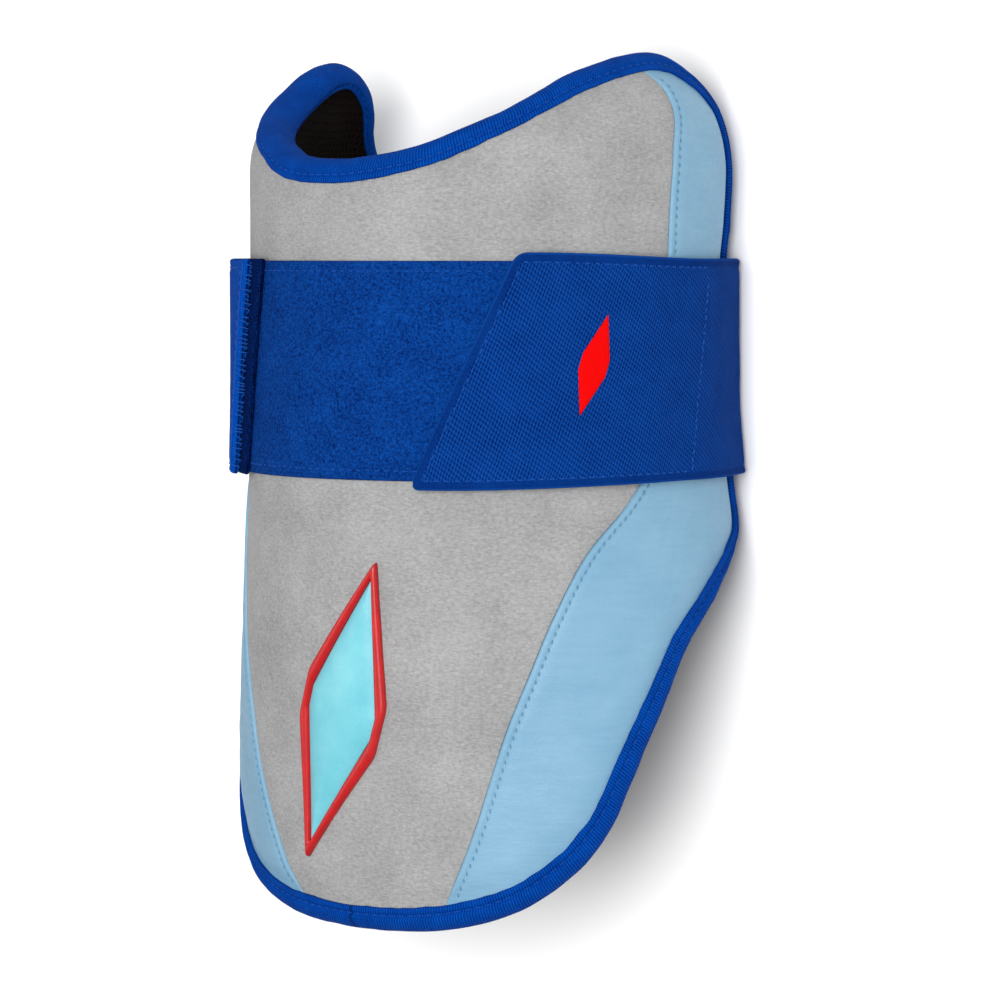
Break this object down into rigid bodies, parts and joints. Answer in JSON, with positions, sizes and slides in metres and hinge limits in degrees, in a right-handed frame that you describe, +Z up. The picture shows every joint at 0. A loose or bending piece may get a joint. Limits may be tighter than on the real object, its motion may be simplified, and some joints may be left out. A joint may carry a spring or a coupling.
{
  "type": "elbow guard",
  "caption": "Padded half-tube elbow guard for a batter, with a lobed upper end, bound rim, mesh lining and one wide hook-and-loop strap.",
  "frame": {"origin": "middle of the strap's flat back run, on the outer face that the guard lies on, with the crown of the shell up", "axes": "+Z up to the crown of the shell, +Y along the arm to the lobed upper-arm end, +X to the wing that the strap's slanted tab comes round"},
  "size_m": [0.1326, 0.2125, 0.0955],
  "materials": {
    "lining_mesh": "near-black knitted mesh with small holes, matte",
    "grey_suede": "heathered grey suede-like cover, matte",
    "light_blue_leather": "fine-grained light blue synthetic leather, satin",
    "blue_binding": "ribbed royal blue elastic binding tape",
    "blue_loop": "brushed royal blue loop fabric, fuzzy",
    "navy_hook": "dark blue hook tape",
    "blue_elastic": "coarse diagonal woven royal blue elastic",
    "red_trim": "moulded red border, satin",
    "cyan_patch": "soft moulded light cyan, satin",
    "red_print": "bright red flat print, matte"
  },
  "bodies": {
    "root": {"liner_pad": "lining_mesh", "front_panel": "grey_suede", "side_panel_right": "light_blue_leather", "side_panel_left": "light_blue_leather", "rim_binding": "blue_binding", "loop_band": "blue_loop", "hook_patch_tab": "navy_hook", "hook_patch_far": "navy_hook", "strap": "blue_elastic", "badge_border": "red_trim", "badge_face": "cyan_patch", "strap_mark": "red_print"}
  },
  "joints": []
}
